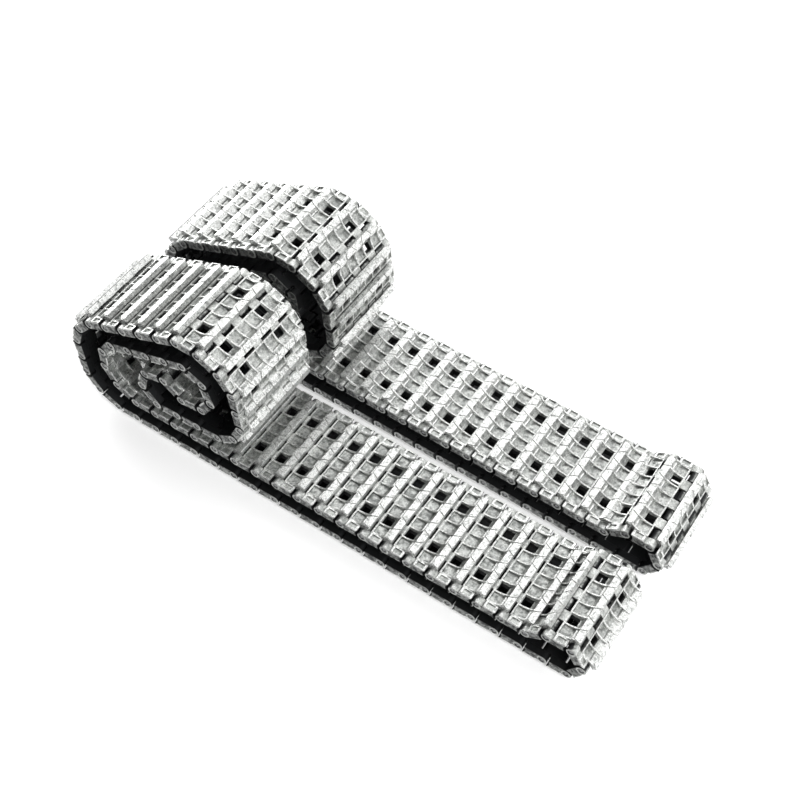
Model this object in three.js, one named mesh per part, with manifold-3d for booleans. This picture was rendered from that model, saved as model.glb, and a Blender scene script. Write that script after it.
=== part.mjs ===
// A pair of cast-metal tracks for a 1/16 scale model tank, rolled up for storage.
// Each track is a closed loop of links and pins, laid flat as two bands. One end is a tight
// turn, the other end is rolled up and over, so that the loop's closed end lies inside the roll.
// X runs along the tracks, Y across them and Z up. Millimetres.
import * as THREE from "three";
import { mergeVertices } from "three/addons/utils/BufferGeometryUtils.js";
import Module from "manifold-3d";

const wasm = await Module();
wasm.setup();

// ---------------------------------------------------------------- driving dimensions
const PITCH = 9.4; // pin to pin
const WIDTH = 4.1 * PITCH; // across one track
const TRACK_SPACING = 5.19 * PITCH; // centre to centre of the two tracks
const BACK_TRACK_SHIFT = 0.3 * PITCH; // the back track lies a little further along X
const FIT_GAP = 0.3; // between neighbouring links

// Heights in a link, from its pin line. Outward is the side with the grouser bar.
const PLATE_OUTER = 0.12 * PITCH;
const PLATE_INNER = -0.18 * PITCH;
const BAR_TOP = 0.43 * PITCH;
const BAR_HOLLOW = 0.2 * PITCH; // the low point of the concave wall behind the bar

// Lengths along a link, from its rear pin
const HOLLOW_START = 0.2 * PITCH;
const HOLLOW_MIDDLE = 0.42 * PITCH;
const BAR_START = 0.54 * PITCH;
const BAR_END = 0.82 * PITCH;
const BAR_FOOT = 0.88 * PITCH;

const KNUCKLE_RADIUS = 0.18 * PITCH;
const KNUCKLE_ROOT = 0.28 * PITCH; // where a comb of knuckles leaves the link's plate
const NOSE_STEPS = 4; // flats round half a knuckle
const COMB_EDGES = [-0.5, -0.3, -0.1, 0.1, 0.3, 0.5].map((share) => share * WIDTH);

const JOINING_PIN_RADIUS = 0.8;
const JOINING_BORE_RADIUS = 1.15;
const JOINING_PIN_HEAD = 0.4; // how far it stands out at each side
const ROUND_STEPS = 8;

const END_TURN_BEND = 60; // degrees at each pin of the tight end
const END_BULGE = 35.6; // the loop swells by this angle before it turns

const METAL = new THREE.MeshStandardMaterial({ color: 0xc9cac8, roughness: 0.35, metalness: 0.9 });
const STEEL = new THREE.MeshStandardMaterial({ color: 0xb4b6b8, roughness: 0.25, metalness: 1 });

// The roll of each track: how many links lie in each straight stretch, how many pins bend
// in each turn, and the headings of the stretches in degrees.
const COMMON_ROLL = {
  floorLinks: 21, heelBends: 3, rearLinks: 2, shoulderBends: 3, topHeading: 24,
  topLinks: 5, crownBends: 4, frontHeading: -86.5, frontLinks: 2, footBends: 3,
  innerFloorHeading: -177, innerFloorLinks: 3, closedEndBends: 4, dipLinks: 1,
  innerRiseBends: 5, innerTopLinks: 4, innerTurnBends: 5, upperLinks: 18,
};
const TRACKS = [
  { name: "front", y: 0, x: 0, barForward: true, roll: COMMON_ROLL },
  { name: "back", y: TRACK_SPACING, x: BACK_TRACK_SHIFT, barForward: false,
    roll: { ...COMMON_ROLL, topHeading: 24.3, frontHeading: -84, innerFloorHeading: -176.6, dipLinks: 0 } },
];

function rad(degrees) {
  return (degrees * Math.PI) / 180;
}

// ---------------------------------------------------------------- the closed chain
// The headings of the links that lie between two stretches, over an even number of bends.
function turn(from, to, bends) {
  return Array.from({ length: bends - 1 }, (_, i) => from + ((to - from) * (i + 1)) / bends);
}

function straight(heading, links) {
  return Array(links).fill(heading);
}

// Every stretch of one loop in order, as a name and the headings of its links. innerSlope and
// dip are the two angles that the loop's closure decides.
function stretches(r, innerSlope, dip) {
  const innerTop = -180 + innerSlope;
  const dipHeading = -360 - dip;
  const closedEnd = turn(r.innerFloorHeading, dipHeading, r.closedEndBends);
  return [
    ["floor_run", straight(180, r.floorLinks)],
    ["heel_link", turn(180, 90, r.heelBends)],
    ["rear_run", straight(90, r.rearLinks)],
    ["shoulder_link", turn(90, r.topHeading, r.shoulderBends)],
    ["top_run", straight(r.topHeading, r.topLinks)],
    ["crown_links", turn(r.topHeading, r.frontHeading, r.crownBends)],
    ["front_run", straight(r.frontHeading, r.frontLinks)],
    ["foot_links", turn(r.frontHeading, r.innerFloorHeading, r.footBends)],
    ["inner_floor_run", straight(r.innerFloorHeading, r.innerFloorLinks)],
    ["closed_end_links", [...closedEnd, ...straight(dipHeading, r.dipLinks)]],
    ["inner_rise_links", turn(dipHeading, innerTop, r.innerRiseBends)],
    ["inner_top_run", straight(innerTop, r.innerTopLinks)],
    ["inner_turn_link", turn(innerTop, 0, r.innerTurnBends)],
    ["upper_run", straight(0, r.upperLinks)],
    ["end_link", [END_BULGE, 0, -END_TURN_BEND, -2 * END_TURN_BEND]],
  ];
}

// How far the chain's last pin is from its first, in pitches.
function misfit(roll, [innerSlope, dip]) {
  const headings = stretches(roll, innerSlope, dip).flatMap(([, list]) => list);
  return headings.reduce(([x, z], h) => [x + Math.cos(rad(h)), z + Math.sin(rad(h))], [0, 0]);
}

// Newton's method on the two angles, until the loop closes.
function closedStretches(roll) {
  const STEP = 1e-4;
  let angles = [20, 40];
  for (let round = 0; round < 30; round += 1) {
    const [x, z] = misfit(roll, angles);
    const [xa, za] = misfit(roll, [angles[0] + STEP, angles[1]]);
    const [xb, zb] = misfit(roll, [angles[0], angles[1] + STEP]);
    const [a, b, c, d] = [(xa - x) / STEP, (xb - x) / STEP, (za - z) / STEP, (zb - z) / STEP];
    const determinant = a * d - b * c;
    angles = [angles[0] - (d * x - b * z) / determinant, angles[1] - (a * z - c * x) / determinant];
  }
  return stretches(roll, ...angles);
}

// ---------------------------------------------------------------- solids
function solid(geometry) {
  const plain = geometry.index ? geometry.toNonIndexed() : geometry.clone();
  plain.deleteAttribute("normal");
  plain.deleteAttribute("uv");
  const merged = mergeVertices(plain, 1e-5);
  const vertProperties = new Float32Array(merged.attributes.position.array);
  const triVerts = new Uint32Array(merged.index.array);
  return new wasm.Manifold(new wasm.Mesh({ numProp: 3, vertProperties, triVerts }));
}

function geometryOf(manifold) {
  const mesh = manifold.getMesh();
  const geometry = new THREE.BufferGeometry();
  geometry.setAttribute("position", new THREE.BufferAttribute(mesh.vertProperties, 3));
  geometry.setIndex(new THREE.BufferAttribute(mesh.triVerts, 1));
  geometry.computeVertexNormals();
  return geometry;
}

// An outline of [along, outward] points, extruded across the track from y0 to y1.
function acrossTrack(points, y0, y1) {
  const outline = new THREE.Shape(points.map(([x, z]) => new THREE.Vector2(x, z)));
  const geometry = new THREE.ExtrudeGeometry(outline, { depth: y1 - y0, bevelEnabled: false });
  return geometry.rotateX(Math.PI / 2).translate(0, y1, 0);
}

function roundBar(radius, y0, y1) {
  const geometry = new THREE.CylinderGeometry(radius, radius, y1 - y0, ROUND_STEPS);
  return geometry.translate(0, (y0 + y1) / 2, 0);
}

// A straight strap of links with their grouser bars. The plate stops short of a pin that
// carries a comb of knuckles.
function strap(links, startsAtPin, endsAtPin, barForward) {
  const start = startsAtPin ? KNUCKLE_ROOT : 0;
  const end = links * PITCH - (endsAtPin ? KNUCKLE_ROOT : 0);
  const forward = [
    [HOLLOW_START, PLATE_OUTER], [HOLLOW_MIDDLE, BAR_HOLLOW], [BAR_START, BAR_TOP],
    [BAR_END, BAR_TOP], [BAR_FOOT, PLATE_OUTER],
  ];
  const bar = barForward ? forward : forward.map(([x, z]) => [PITCH - x, z]).reverse();
  const tops = Array.from({ length: links }, (_, i) => bar.map(([x, z]) => [x + i * PITCH, z])).flat();
  const inside = tops.filter(([x]) => x > start && x < end);
  const points = [[start, PLATE_INNER], [start, PLATE_OUTER], ...inside, [end, PLATE_OUTER], [end, PLATE_INNER]];
  return solid(acrossTrack(points.reverse(), -WIDTH / 2, WIDTH / 2));
}

// One knuckle: a short arm from the plate with a rounded nose about the pin at x = 0.
function knuckle(y0, y1) {
  const nose = Array.from({ length: NOSE_STEPS + 1 }, (_, i) => {
    const angle = -Math.PI / 2 - (Math.PI * i) / NOSE_STEPS;
    return [KNUCKLE_RADIUS * Math.cos(angle), KNUCKLE_RADIUS * Math.sin(angle)];
  });
  const root = KNUCKLE_ROOT + FIT_GAP;
  const points = [[root, PLATE_OUTER], [root, PLATE_INNER], ...nose];
  return solid(acrossTrack(points.reverse(), y0, y1));
}

// The comb at a link's rear pin (odd cells) or at its front pin (even cells).
function comb(atX, facesForward) {
  const cells = COMB_EDGES.slice(1).map((edge, i) => [COMB_EDGES[i], edge]);
  const mine = cells.filter((_, i) => (i % 2 === 0) === facesForward);
  const half = FIT_GAP / 2;
  const arms = mine.map(([y0, y1]) => {
    const outerLeft = y0 === COMB_EDGES[0] ? y0 : y0 + half;
    const outerRight = y1 === COMB_EDGES.at(-1) ? y1 : y1 - half;
    const arm = knuckle(outerLeft, outerRight);
    const turned = facesForward ? arm.mirror([1, 0, 0]) : arm;
    return turned.translate([atX, 0, 0]);
  });
  return arms.reduce((all, arm) => all.add(arm));
}

// A piece of chain as one solid, in the frame of its first link: its straights are straps,
// its bends are filled by a round bar on the pin, and both its ends are combs.
function chainPiece(headings, barForward) {
  let whole = null;
  let x = 0;
  let z = 0;
  let i = 0;
  const add = (part, heading) => {
    const placed = part.rotate([0, -(heading - headings[0]), 0]).translate([x, 0, z]);
    whole = whole ? whole.add(placed) : placed;
  };
  while (i < headings.length) {
    const heading = headings[i];
    let run = 1;
    while (i + run < headings.length && Math.abs(headings[i + run] - heading) < 1e-9) run += 1;
    const first = i === 0;
    const last = i + run === headings.length;
    add(strap(run, first, last, barForward), heading);
    if (first) add(comb(0, false), heading);
    else add(solid(roundBar(KNUCKLE_RADIUS, -WIDTH / 2, WIDTH / 2)), heading);
    if (last) add(comb(run * PITCH, true), heading);
    const relative = rad(heading - headings[0]);
    x += run * PITCH * Math.cos(relative);
    z += run * PITCH * Math.sin(relative);
    i += run;
  }
  return whole;
}

// ---------------------------------------------------------------- one track
function buildTrack({ name, x: shiftX, y, barForward, roll }) {
  const track = new THREE.Group();
  track.position.set(shiftX, y, BAR_TOP);
  const place = (mesh, at, heading) => {
    mesh.position.set(at.x, 0, at.z);
    mesh.rotation.y = -rad(heading);
    track.add(mesh);
  };
  // The pin that is drawn out to open the loop passes through the floor run's first knuckles.
  const bore = solid(roundBar(JOINING_BORE_RADIUS, -WIDTH, WIDTH));
  const at = { x: 0, z: 0 };
  for (const [stretch, headings] of closedStretches(roll)) {
    const single = stretch.endsWith("_link");
    const pieces = single ? headings.map((heading) => [heading]) : [headings];
    pieces.forEach((piece, index) => {
      let body = chainPiece(piece, barForward);
      if (stretch === "floor_run") body = body.subtract(bore);
      if (stretch === "end_link" && index === pieces.length - 1) body = body.subtract(bore.translate([PITCH, 0, 0]));
      const mesh = new THREE.Mesh(geometryOf(body), METAL);
      mesh.name = single ? `${name}_${stretch}_${index + 1}` : `${name}_${stretch}`;
      place(mesh, at, piece[0]);
      for (const heading of piece) {
        at.x += PITCH * Math.cos(rad(heading));
        at.z += PITCH * Math.sin(rad(heading));
      }
    });
  }
  const halfPin = WIDTH / 2 + JOINING_PIN_HEAD;
  const pin = new THREE.Mesh(roundBar(JOINING_PIN_RADIUS, -halfPin, halfPin), STEEL);
  pin.name = `${name}_joining_pin`;
  place(pin, { x: 0, z: 0 }, 0);
  return track;
}

// ---------------------------------------------------------------- the pair
const pair = new THREE.Group();
TRACKS.forEach((track) => pair.add(buildTrack(track)));

// The origin is on the floor, under the middle of the pair.
const extent = new THREE.Box3().setFromObject(pair, true);
const middle = extent.getCenter(new THREE.Vector3());
pair.position.set(-middle.x, -middle.y, -extent.min.z);

const part = new THREE.Group();
part.name = "rolled_track_pair";
part.add(pair);
export default part;
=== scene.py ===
"""A rolled pair of cast-metal tracks for a 1/16 model tank.

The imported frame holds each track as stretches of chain. Here every link of both loops gets its
cast shape and its steel pin, grouped by the body that it moves with.
"""
import math
import random

import bpy
import numpy as np
from mathutils import Matrix, Vector


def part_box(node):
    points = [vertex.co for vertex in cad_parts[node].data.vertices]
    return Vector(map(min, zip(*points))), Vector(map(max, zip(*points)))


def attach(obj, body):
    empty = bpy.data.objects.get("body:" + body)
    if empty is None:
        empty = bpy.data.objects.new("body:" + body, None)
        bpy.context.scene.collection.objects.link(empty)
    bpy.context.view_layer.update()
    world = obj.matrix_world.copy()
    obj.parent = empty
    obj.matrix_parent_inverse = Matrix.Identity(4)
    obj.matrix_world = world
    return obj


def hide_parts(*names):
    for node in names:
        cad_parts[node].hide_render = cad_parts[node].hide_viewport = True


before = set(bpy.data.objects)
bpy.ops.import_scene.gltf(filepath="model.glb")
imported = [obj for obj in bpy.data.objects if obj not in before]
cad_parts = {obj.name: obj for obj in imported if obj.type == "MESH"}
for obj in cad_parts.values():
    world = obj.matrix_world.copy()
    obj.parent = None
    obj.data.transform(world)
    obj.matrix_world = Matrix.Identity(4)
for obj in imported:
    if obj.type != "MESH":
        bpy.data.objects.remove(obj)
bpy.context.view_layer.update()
random.seed(16)

# ---------------------------------------------------------------- sizes
PITCH = 0.0094  # pin to pin, in metres
END_BULGE, END_TURN_BEND = 35.6, 60.0  # degrees, as in the frame's tight end

# Sizes in a link, in pitches. s runs from the finger pin (0) to the bar pin (1), z is outward.
CELL_EDGES = [-2.05, -1.76, -1.25, -0.75, -0.25, 0.25, 0.75, 1.25, 1.76, 2.05]
LUGS, KNUCKLE_CELLS, FINGER_CELLS, HOLE_CELLS = (0, 8), (1, 3, 5, 7), (0, 2, 4, 6, 8), (2, 6)
CELL_GAP = 0.03
PLATE_BOTTOM, POCKET_FLOOR, RIM_TOP, BAR_TOP = -0.16, 0.13, 0.20, 0.43
RIM_START, RIM_END = 0.235, 0.31
WALL_START, BAR_START, BAR_END = 0.64, 0.89, 1.165
OVERHANG_BOTTOM = 0.215
NOSE_RADIUS, LUG_NOSE_RADIUS, PIN_RADIUS = 0.175, 0.20, 0.082
RIB_HALF = 0.036
HOLE_START, HOLE_END, HOLE_HALF = 0.315, 0.70, 0.195


# ---------------------------------------------------------------- the closed chain
def turn(start, end, bends):
    """Headings of the links between two stretches, over an even number of bends."""
    return [start + (end - start) * (i + 1) / bends for i in range(bends - 1)]


def stretches(roll, inner_slope, dip):
    """Every stretch of one loop, as its body and the headings of its links."""
    inner_top = -180 + inner_slope
    dip_heading = -360 - dip
    top, front, inner_floor = roll["top"], roll["front"], roll["inner_floor"]
    inside = (
        [top] * 5 + turn(top, front, 4) + [front] * 2 + turn(front, inner_floor, 3)
        + [inner_floor] * 3 + turn(inner_floor, dip_heading, 4) + [dip_heading] * roll["dip_links"]
        + turn(dip_heading, inner_top, 5) + [inner_top] * 4
    )
    heel, shoulder, inner = turn(180, 90, 3), turn(90, top, 3), turn(inner_top, 0, 5)
    end = [END_BULGE, 0, -END_TURN_BEND, -2 * END_TURN_BEND]
    return (
        [("floor_run", [180] * 21)]
        + [(f"heel_link_{i + 1}", [h]) for i, h in enumerate(heel)]
        + [("rear_run", [90] * 2)]
        + [(f"shoulder_link_{i + 1}", [h]) for i, h in enumerate(shoulder)]
        + [("roll", inside)]
        + [(f"inner_turn_link_{i + 1}", [h]) for i, h in enumerate(inner)]
        + [("upper_run", [0] * 18)]
        + [(f"end_link_{i + 1}", [h]) for i, h in enumerate(end)]
    )


def misfit(roll, angles):
    """How far the chain's last pin is from its first, in pitches."""
    headings = np.radians([h for _, run in stretches(roll, *angles) for h in run])
    return np.array([np.cos(headings).sum(), np.sin(headings).sum()])


def closed(roll):
    """Newton's method on the two angles that the loop's closure decides."""
    angles, step = np.array([20.0, 40.0]), 1e-4
    for _ in range(30):
        now = misfit(roll, angles)
        slopes = [(misfit(roll, angles + step * unit) - now) / step for unit in np.eye(2)]
        angles = angles - np.linalg.solve(np.stack(slopes, 1), now)
    return stretches(roll, *angles)


# ---------------------------------------------------------------- one link
def prism(profile, y0, y1, chamfer=0.0):
    """A closed outline of (s, z) points between y0 and y1, with its two ends drawn in a little."""
    pts = np.array(profile, float)
    area = 0.5 * np.sum(pts[:, 0] * np.roll(pts[:, 1], -1) - np.roll(pts[:, 0], -1) * pts[:, 1])
    if area < 0:
        pts = pts[::-1]
    rings = [(y0, 0), (y1, 0)]
    if chamfer:
        rings = [(y0, chamfer), (y0 + chamfer, 0), (y1 - chamfer, 0), (y1, chamfer)]
    verts, faces, n = [], [], len(pts)
    before, after = pts - np.roll(pts, 1, 0), np.roll(pts, -1, 0) - pts
    normal = np.stack([before[:, 1] + after[:, 1], -before[:, 0] - after[:, 0]], 1)
    normal /= np.maximum(np.linalg.norm(normal, axis=1, keepdims=True), 1e-9)
    for y, inset in rings:
        verts += [(s, y, z) for s, z in pts - normal * inset]
    for r in range(len(rings) - 1):
        a, b = r * n, (r + 1) * n
        faces += [(a + i, b + i, b + (i + 1) % n, a + (i + 1) % n) for i in range(n)]
    faces.append(tuple(range(n)))
    faces.append(tuple((len(rings) - 1) * n + i for i in reversed(range(n))))
    return verts, faces


def arc(cs, cz, radius, start, end, steps):
    """Points on an arc in the (s, z) plane, angles in degrees."""
    return [
        (cs + radius * math.cos(math.radians(a)), cz + radius * math.sin(math.radians(a)))
        for a in np.linspace(start, end, steps)
    ]


def concave(start, end, low, high, power, steps=7):
    """Points that rise from low to high in a hollow curve."""
    return [(start + (end - start) * t, low + (high - low) * t ** power) for t in np.linspace(0, 1, steps)]


def scratch_object(name, verts, faces):
    mesh = bpy.data.meshes.new(name)
    mesh.from_pydata(verts, [], faces)
    obj = bpy.data.objects.new(name, mesh)
    bpy.context.scene.collection.objects.link(obj)
    return obj


def combine(parts, cuts, name):
    """Joins closed solids into one, cuts others out, and returns the plain mesh."""
    base = scratch_object(name, *parts[0])
    helpers = []
    for operation, group in (("UNION", parts[1:]), ("DIFFERENCE", cuts)):
        for part in group:
            helper = scratch_object(name + "_helper", *part)
            helpers.append(helper)
            modifier = base.modifiers.new("join", "BOOLEAN")
            modifier.operation, modifier.object, modifier.solver = operation, helper, "MANIFOLD"
    bevel = base.modifiers.new("worn_edges", "BEVEL")
    bevel.width, bevel.segments, bevel.limit_method = 0.016, 1, "ANGLE"
    bevel.angle_limit, bevel.use_clamp_overlap = math.radians(50), True
    graph = bpy.context.evaluated_depsgraph_get()
    mesh = bpy.data.meshes.new_from_object(base.evaluated_get(graph), depsgraph=graph)
    for obj in [base] + helpers:
        bpy.data.objects.remove(obj)
    return mesh


def link_mesh():
    """The cast link, in pitches: finger pin at s = 0, bar pin at s = 1."""
    inner_left, inner_right = CELL_EDGES[1], CELL_EDGES[8]
    parts = []
    # The pocketed plate, its concave wall and the grouser bar.
    wall = concave(WALL_START, BAR_START, POCKET_FLOOR, BAR_TOP - 0.02, 2.2)
    body = [(RIM_START, PLATE_BOTTOM), (RIM_START, POCKET_FLOOR)] + wall + [
        (BAR_START + 0.012, BAR_TOP), (BAR_END - 0.01, BAR_TOP), (BAR_END, BAR_TOP - 0.012),
        (BAR_END, OVERHANG_BOTTOM), (0.80, OVERHANG_BOTTOM), (0.775, PLATE_BOTTOM),
    ]
    parts.append(prism(body, inner_left, inner_right, 0.014))
    # The low rim on the finger side.
    rim = [(RIM_START, PLATE_BOTTOM + 0.02), (RIM_START, RIM_TOP), (RIM_END - 0.02, RIM_TOP),
           (RIM_END, POCKET_FLOOR - 0.02), (RIM_END, PLATE_BOTTOM + 0.02)]
    parts.append(prism(rim, inner_left, inner_right, 0.01))
    # Ribs between the cells, with hollow tops.
    rib_top = concave(RIM_END - 0.04, BAR_START + 0.01, RIM_TOP + 0.005, BAR_TOP - 0.005, 2.6, 9)
    rib = [(RIM_END - 0.04, 0.0)] + rib_top + [(BAR_START + 0.01, 0.0)]
    for edge in CELL_EDGES[1:9]:
        shift = RIB_HALF * (0.9 if edge < -1.5 else -0.9 if edge > 1.5 else 0)
        parts.append(prism(rib, edge + shift - RIB_HALF, edge + shift + RIB_HALF, 0.012))
    # Knuckles round the bar pin.
    knuckle = arc(1, 0, NOSE_RADIUS, -90, 90, 9) + [(1.0, 0.28), (0.78, 0.28), (0.74, PLATE_BOTTOM)]
    for cell in KNUCKLE_CELLS:
        parts.append(prism(knuckle, CELL_EDGES[cell] + CELL_GAP, CELL_EDGES[cell + 1] - CELL_GAP, 0.012))
    # Fingers round the finger pin.
    finger = arc(0, 0, NOSE_RADIUS, 270, 90, 9)
    finger += [(0.20, RIM_TOP - 0.02), (0.32, RIM_TOP - 0.03), (0.32, PLATE_BOTTOM)]
    for cell in FINGER_CELLS[1:4]:
        parts.append(prism(finger, CELL_EDGES[cell] + CELL_GAP, CELL_EDGES[cell + 1] - CELL_GAP, 0.012))
    # End lugs: a nose on the pin, a flat pad with a shallow pocket, and a round hollow for the
    # next link's nose.
    lug = arc(0, 0, LUG_NOSE_RADIUS, 270, 70, 11) + [(0.22, 0.13), (0.28, 0.225), (0.76, 0.225)]
    lug += arc(1, 0, 0.31, 131, 212, 7) + [(0.70, PLATE_BOTTOM - 0.01)]
    for cell in LUGS:
        low, high = CELL_EDGES[cell], CELL_EDGES[cell + 1]
        inside_low, inside_high = (low, high + 0.03) if cell == 0 else (low - 0.03, high)
        parts.append(prism(lug, inside_low, inside_high, 0.014))
    # Guide horns on the running side.
    horn = [(0.34, PLATE_BOTTOM + 0.02), (0.44, -0.40), (0.56, -0.40), (0.66, PLATE_BOTTOM + 0.02)]
    for y in (-0.62, 0.62):
        parts.append(prism(horn, y - 0.07, y + 0.07, 0.03))

    cuts = []
    hole = [(HOLE_START, -1), (HOLE_START, 1), (HOLE_END, 1), (HOLE_END, -1)]
    for cell in HOLE_CELLS:
        middle = (CELL_EDGES[cell] + CELL_EDGES[cell + 1]) / 2
        cuts.append(prism(hole, middle - HOLE_HALF, middle + HOLE_HALF))
    pad = [(0.36, 0.165), (0.36, 1), (0.68, 1), (0.68, 0.165)]
    for cell in LUGS:
        middle = (CELL_EDGES[cell] + CELL_EDGES[cell + 1]) / 2
        cuts.append(prism(pad, middle - 0.10, middle + 0.10))
    # Thin seams across the bar, leaning one way and the other.
    for index, edge in enumerate(CELL_EDGES[1:9]):
        lean = 0.07 if index % 2 else -0.07
        verts, faces = prism([(0.86, 0.36), (0.86, 0.5), (1.2, 0.5), (1.2, 0.36)], edge - 0.02, edge + 0.02)
        cuts.append(([(s, y + lean * (s - 1.03) / 0.15, z) for s, y, z in verts], faces))
    # Eyes for the pins.
    eye = arc(0, 0, PIN_RADIUS + 0.014, 0, 337.5, 16)
    cuts.append(prism(eye, -2.2, 2.2))
    cuts.append(prism([(s + 1, z) for s, z in eye], -1.8, 1.8))
    return combine(parts, cuts, "cast_link")


def pin_mesh():
    """One steel pin across the track, in pitches."""
    half, steps = 2.035, 12
    ring = [(math.cos(2 * math.pi * i / steps), math.sin(2 * math.pi * i / steps)) for i in range(steps)]
    sections = [(-half, 0.8), (-half + 0.015, 1), (half - 0.015, 1), (half, 0.8)]
    verts = [(c * PIN_RADIUS * k, y, s * PIN_RADIUS * k) for y, k in sections for c, s in ring]
    faces = []
    for r in range(3):
        a, b = r * steps, (r + 1) * steps
        faces += [(a + i, a + (i + 1) % steps, b + (i + 1) % steps, b + i) for i in range(steps)]
    faces.append(tuple(reversed(range(steps))))
    faces.append(tuple(3 * steps + i for i in range(steps)))
    mesh = bpy.data.meshes.new("pin")
    mesh.from_pydata(verts, [], faces)
    return mesh


class Stencil:
    """A mesh as plain arrays, so that copies of it can be laid into one piece."""

    def __init__(self, mesh):
        self.points = np.array([v.co[:] for v in mesh.vertices])
        self.faces = [tuple(p.vertices) for p in mesh.polygons]


def lay(stencil, places, name, material):
    """One object made of the stencil at each place: (matrix in pitches, seed)."""
    points, faces, local, seeds = [], [], [], []
    for matrix, seed in places:
        base = len(points) and sum(len(p) for p in points)
        m = np.array(matrix)
        points.append(stencil.points @ m[:3, :3].T + m[:3, 3])
        flip = np.linalg.det(m[:3, :3]) < 0
        faces += [tuple(base + i for i in (reversed(f) if flip else f)) for f in stencil.faces]
        local.append(stencil.points)
        seeds.append(np.full(len(stencil.points), seed))
    mesh = bpy.data.meshes.new(name)
    mesh.from_pydata(np.concatenate(points).tolist(), [], faces)
    spot = mesh.attributes.new("link_spot", "FLOAT_VECTOR", "POINT")
    spot.data.foreach_set("vector", np.concatenate(local).ravel())
    cast = mesh.attributes.new("cast_seed", "FLOAT", "POINT")
    cast.data.foreach_set("value", np.concatenate(seeds))
    mesh.materials.append(material)
    obj = bpy.data.objects.new(name, mesh)
    bpy.context.scene.collection.objects.link(obj)
    return obj


# ---------------------------------------------------------------- materials
def node(tree, kind, **inputs):
    made = tree.nodes.new(kind)
    for key, value in inputs.items():
        setattr(made, key, value)
    return made


def maths(tree, operation, a, b=None, c=None, clamp=False):
    made = node(tree, "ShaderNodeMath", operation=operation, use_clamp=clamp)
    for socket, value in zip(made.inputs, (a, b, c)):
        if value is None:
            continue
        if isinstance(value, (int, float)):
            socket.default_value = value
        else:
            tree.links.new(value, socket)
    return made.outputs[0]


def noise(tree, vector, scale, detail=4.0, rough=0.6):
    made = node(tree, "ShaderNodeTexNoise")
    made.inputs["Scale"].default_value = scale
    made.inputs["Detail"].default_value = detail
    made.inputs["Roughness"].default_value = rough
    tree.links.new(vector, made.inputs["Vector"])
    return made.outputs["Fac"]


def smooth(tree, value, low, high, to_low=0.0, to_high=1.0):
    made = node(tree, "ShaderNodeMapRange", interpolation_type="SMOOTHSTEP")
    tree.links.new(value, made.inputs["Value"])
    for key, number in zip(("From Min", "From Max", "To Min", "To Max"), (low, high, to_low, to_high)):
        made.inputs[key].default_value = number
    return made.outputs[0]


def mixed(tree, factor, first, second):
    made = node(tree, "ShaderNodeMix", data_type="RGBA")
    tree.links.new(factor, made.inputs["Factor"])
    for socket, value in ((made.inputs[6], first), (made.inputs[7], second)):
        if isinstance(value, tuple):
            socket.default_value = (*value, 1)
        else:
            tree.links.new(value, socket)
    return made.outputs[2]


def new_material(name):
    material = bpy.data.materials.new(name)
    material.use_nodes = True
    tree = material.node_tree
    return material, tree, tree.nodes["Principled BSDF"]


def ring(tree, split, s, radius, half):
    """One on a circle round the pin at s, in the link's side view, falling to zero away from it."""
    along = maths(tree, "SUBTRACT", split.outputs[0], s)
    height = split.outputs[2]
    square = maths(tree, "ADD", maths(tree, "MULTIPLY", along, along), maths(tree, "MULTIPLY", height, height))
    off = maths(tree, "ABSOLUTE", maths(tree, "SUBTRACT", maths(tree, "SQRT", square), radius))
    return smooth(tree, off, half, half * 0.5)


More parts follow.
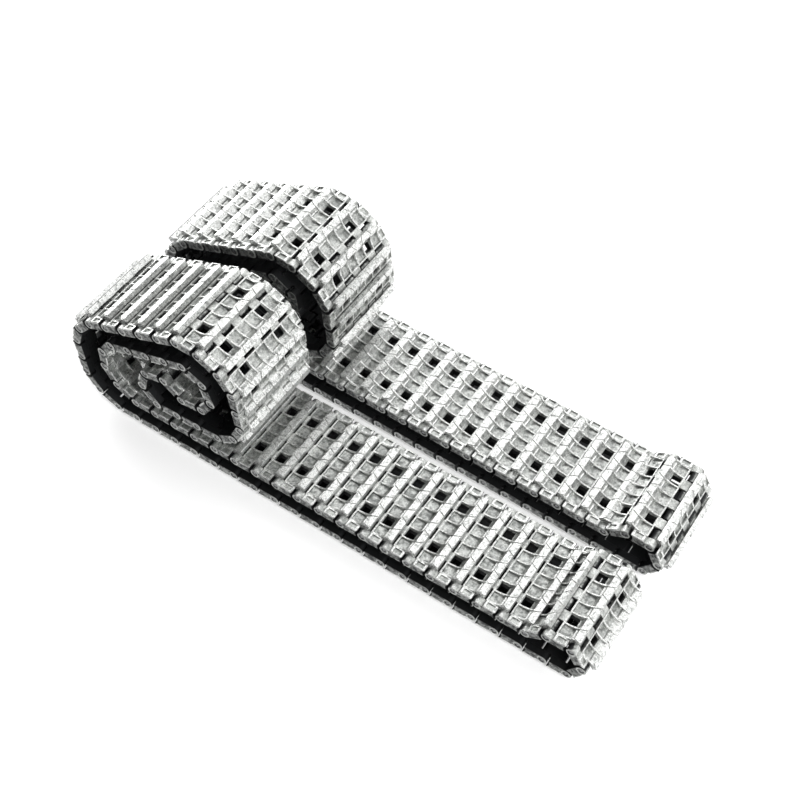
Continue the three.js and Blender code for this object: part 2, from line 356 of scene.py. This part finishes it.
def cast_metal():
    """Silvery cast alloy: mottled, with painted highlights on the raised tops and side edges, and painted
    shade low down, on the side faces and round the hollow.
    """
    material, tree, shader = new_material("cast_link")
    spot = node(tree, "ShaderNodeAttribute", attribute_name="link_spot")
    seed = node(tree, "ShaderNodeAttribute", attribute_name="cast_seed")
    split = node(tree, "ShaderNodeSeparateXYZ")
    tree.links.new(spot.outputs["Vector"], split.inputs[0])
    height, across = split.outputs[2], split.outputs[1]
    moved = node(tree, "ShaderNodeVectorMath", operation="ADD")
    tree.links.new(spot.outputs["Vector"], moved.inputs[0])
    offset = node(tree, "ShaderNodeCombineXYZ")
    for i, factor in enumerate((7.3, 3.1, 5.7)):
        tree.links.new(maths(tree, "MULTIPLY", seed.outputs["Fac"], factor), offset.inputs[i])
    tree.links.new(offset.outputs[0], moved.inputs[1])
    place = moved.outputs[0]
    broad = noise(tree, place, 1.6, 3)
    mottle = noise(tree, place, 7.0, 6, 0.7)
    grain = noise(tree, place, 34.0, 5, 0.75)
    # Painted shade: dark low down in the recesses and on the outer side faces, broken up by the mottling.
    ragged = maths(tree, "ADD", height, maths(tree, "MULTIPLY", maths(tree, "SUBTRACT", mottle, 0.5), 0.22))
    low = smooth(tree, ragged, 0.155, 0.04)
    out = maths(tree, "ABSOLUTE", across)
    side = smooth(tree, out, 2.028, 2.045)
    # Painted highlights on the side faces, where the painted shade is left off: the nose's edge and the top
    # edge.
    nose_lit_edge = ring(tree, split, 0.0, 0.165, 0.035)
    # Painted shade in a ring round the hollow on the side faces, near black.
    hollow_painted_shade = maths(tree, "MULTIPLY", ring(tree, split, 1.0, 0.31, 0.016), smooth(tree, out, 1.70, 1.75))
    edge = maths(tree, "MAXIMUM", smooth(tree, height, 0.13, 0.18), nose_lit_edge)
    # Painted shade on the side faces, made patchy by the mottling and left off the lit edges.
    painted_shade_patches = smooth(tree, mottle, 0.56, 0.42, 0.45, 0.9)
    shade = maths(tree, "MULTIPLY", painted_shade_patches, maths(tree, "SUBTRACT", 1.0, edge))
    # All the painted shade in one mask: low down away from the sides, on the side faces, and in the ring round
    # the hollow.
    inner = maths(tree, "MULTIPLY", low, maths(tree, "SUBTRACT", 1.0, side))
    painted_shade = maths(tree, "MAXIMUM", inner, maths(tree, "MULTIPLY", side, shade))
    painted_shade = maths(tree, "MAXIMUM", painted_shade, maths(tree, "MULTIPLY", hollow_painted_shade, 0.95), clamp=True)
    tone = maths(tree, "ADD", maths(tree, "MULTIPLY", broad, 0.5), maths(tree, "MULTIPLY", mottle, 0.5))
    silver = mixed(tree, smooth(tree, tone, 0.36, 0.6), (0.20, 0.21, 0.20), (0.64, 0.655, 0.63))
    # Painted highlight: the raised tops above the rim take a brighter silver.
    painted_highlight_silver = mixed(tree, smooth(tree, mottle, 0.38, 0.5), (0.40, 0.41, 0.40), (0.90, 0.91, 0.89))
    painted_top_highlight = mixed(tree, smooth(tree, height, 0.165, 0.215), silver, painted_highlight_silver)
    speck = mixed(tree, smooth(tree, grain, 0.40, 0.54), (0.22, 0.225, 0.22), painted_top_highlight)
    # The painted shade takes the colour down to near black.
    colour = mixed(tree, painted_shade, speck, (0.022, 0.023, 0.024))
    tree.links.new(colour, shader.inputs["Base Color"])
    shader.inputs["Metallic"].default_value = 0.82
    gloss = maths(tree, "ADD", maths(tree, "MULTIPLY", grain, 0.25), maths(tree, "MULTIPLY", painted_shade, 0.25))
    tree.links.new(maths(tree, "ADD", gloss, 0.2), shader.inputs["Roughness"])
    bump = node(tree, "ShaderNodeBump")
    bump.inputs["Strength"].default_value = 0.35
    bump.inputs["Distance"].default_value = 0.0002
    tree.links.new(maths(tree, "ADD", grain, mottle), bump.inputs["Height"])
    tree.links.new(bump.outputs[0], shader.inputs["Normal"])
    return material


def steel():
    """Drawn steel wire, slightly darkened."""
    material, tree, shader = new_material("steel_pin")
    spot = node(tree, "ShaderNodeAttribute", attribute_name="link_spot")
    streak = noise(tree, spot.outputs["Vector"], 18.0, 4)
    colour = mixed(tree, smooth(tree, streak, 0.35, 0.65), (0.16, 0.16, 0.165), (0.42, 0.42, 0.43))
    tree.links.new(colour, shader.inputs["Base Color"])
    shader.inputs["Metallic"].default_value = 1.0
    tree.links.new(maths(tree, "ADD", maths(tree, "MULTIPLY", streak, 0.2), 0.25), shader.inputs["Roughness"])
    return material


# ---------------------------------------------------------------- both tracks
LINK, PIN = Stencil(link_mesh()), Stencil(pin_mesh())
CAST, STEEL = cast_metal(), steel()
TO_METRES = Matrix.Scale(PITCH, 4)
TURNED_ROUND = Matrix.Translation((1, 0, 0)) @ Matrix.Rotation(math.pi, 4, "Z")
ROLL_NODES = ["top_run", "crown_links", "front_run", "foot_links", "inner_floor_run",
              "closed_end_links", "inner_rise_links", "inner_top_run"]
TRACKS = [
    ("front", True, dict(top=24, front=-86.5, inner_floor=-177, dip_links=1)),
    ("back", False, dict(top=24.3, front=-84, inner_floor=-176.6, dip_links=0)),
]
for side, bar_forward, roll in TRACKS:
    low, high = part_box(f"{side}_joining_pin")
    start = Vector(((low[0] + high[0]) / 2, (low[1] + high[1]) / 2, (low[2] + high[2]) / 2))
    turned = Matrix.Identity(4) if bar_forward else TURNED_ROUND
    x = z = 0.0
    first = True
    for body, headings in closed(roll):
        links, pins = [], []
        for heading in headings:
            seed = random.random() * 100
            along = Matrix.Translation((x, 0, z)) @ Matrix.Rotation(-math.radians(heading), 4, "Y")
            to_frame = Matrix.Translation(start) @ TO_METRES @ along
            links.append((to_frame @ turned, seed))
            if not first:
                pins.append((to_frame, seed))
            first = False
            x += math.cos(math.radians(heading))
            z += math.sin(math.radians(heading))
        name = f"{side}_{body}"
        piece = lay(LINK, links, f"{name}_cast", CAST)
        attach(piece, name)
        nodes = [f"{side}_{part}" for part in ROLL_NODES] if body == "roll" else [name]
        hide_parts(*nodes)
        if pins:
            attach(lay(PIN, pins, f"{name}_pins", STEEL), name)
    at_start = [(Matrix.Translation(start) @ TO_METRES, 0.5)]
    joining = lay(PIN, at_start, f"{side}_joining_pin_wire", STEEL)
    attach(joining, f"{side}_joining_pin")
    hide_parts(f"{side}_joining_pin")

# ---------------------------------------------------------------- floor, light and camera
floor_mesh = bpy.data.meshes.new("floor")
HALF = 3.0
corners = [(-HALF, -HALF, 0), (HALF, -HALF, 0), (HALF, HALF, 0), (-HALF, HALF, 0)]
floor_mesh.from_pydata(corners, [], [(0, 1, 2, 3)])
floor = bpy.data.objects.new("floor", floor_mesh)
bpy.context.scene.collection.objects.link(floor)
paper, _, paper_shader = new_material("paper")
paper_shader.inputs["Base Color"].default_value = (0.9, 0.9, 0.9, 1)
paper_shader.inputs["Roughness"].default_value = 0.9
paper_shader.inputs["Emission Color"].default_value = (1, 1, 1, 1)
paper_shader.inputs["Emission Strength"].default_value = 0.28
floor_mesh.materials.append(paper)
floor.visible_glossy = False

world = bpy.data.worlds.new("studio")
world.use_nodes = True
bpy.context.scene.world = world
sky = world.node_tree
direction = node(sky, "ShaderNodeTexCoord")


def glow(toward, start, end, dark, bright):
    """A soft patch of light in the sky, round one direction."""
    facing = node(sky, "ShaderNodeVectorMath", operation="DOT_PRODUCT")
    facing.inputs[1].default_value = Vector(toward).normalized()
    sky.links.new(direction.outputs["Generated"], facing.inputs[0])
    return smooth(sky, facing.outputs["Value"], start, end, dark, bright)


# A bright window ahead on the right, and a glow from below that stands in for the white table,
# since the floor itself is left out of reflections.
window = glow((0.7, 0.6, 0.1), -0.6, 0.75, 0.2, 1.5)
table = glow((-0.33, -0.5, -0.8), 0.55, 0.95, 0.0, 0.75)
level = maths(sky, "ADD", window, table)
sky.links.new(level, sky.nodes["Background"].inputs["Strength"])
sky.nodes["Background"].inputs["Color"].default_value = (1, 1, 1, 1)


def area_light(name, spot, target, size, power):
    data = bpy.data.lights.new(name, "AREA")
    data.shape, data.size, data.energy = "DISK", size, power
    lamp = bpy.data.objects.new(name, data)
    lamp.location = spot
    lamp.rotation_euler = (Vector(target) - Vector(spot)).to_track_quat("-Z", "Y").to_euler()
    bpy.context.scene.collection.objects.link(lamp)


area_light("key", (0.70, -0.30, 0.80), (0, 0, 0.02), 0.35, 5)
area_light("top", (-0.35, 0.65, 1.0), (0, 0, 0.02), 0.7, 2.2)
area_light("left", (-0.95, 0.45, 0.40), (-0.05, 0, 0.03), 0.6, 5)

AZIMUTH, ELEVATION = math.radians(34.0), math.radians(53.49)
flat = math.cos(ELEVATION)
ahead = Vector((-math.sin(AZIMUTH) * flat, math.cos(AZIMUTH) * flat, -math.sin(ELEVATION)))
right = Vector((math.cos(AZIMUTH), math.sin(AZIMUTH), 0))
up = right.cross(ahead)
camera = bpy.data.objects.new("camera", bpy.data.cameras.new("camera"))
camera.data.lens, camera.data.sensor_width = 58.5, 36
camera.data.shift_x = camera.data.shift_y = -0.005
camera.data.clip_start, camera.data.clip_end = 0.01, 20
axes = Matrix((right, up, -ahead)).transposed().to_4x4()
low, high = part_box("front_joining_pin")
eye = Vector(((low[0] + high[0]) / 2 + 6.14 * PITCH, -24.0 * PITCH, 43.33 * PITCH))
camera.matrix_world = Matrix.Translation(eye) @ axes
bpy.context.scene.collection.objects.link(camera)
bpy.context.scene.camera = camera
bpy.context.scene.view_settings.view_transform = "Standard"
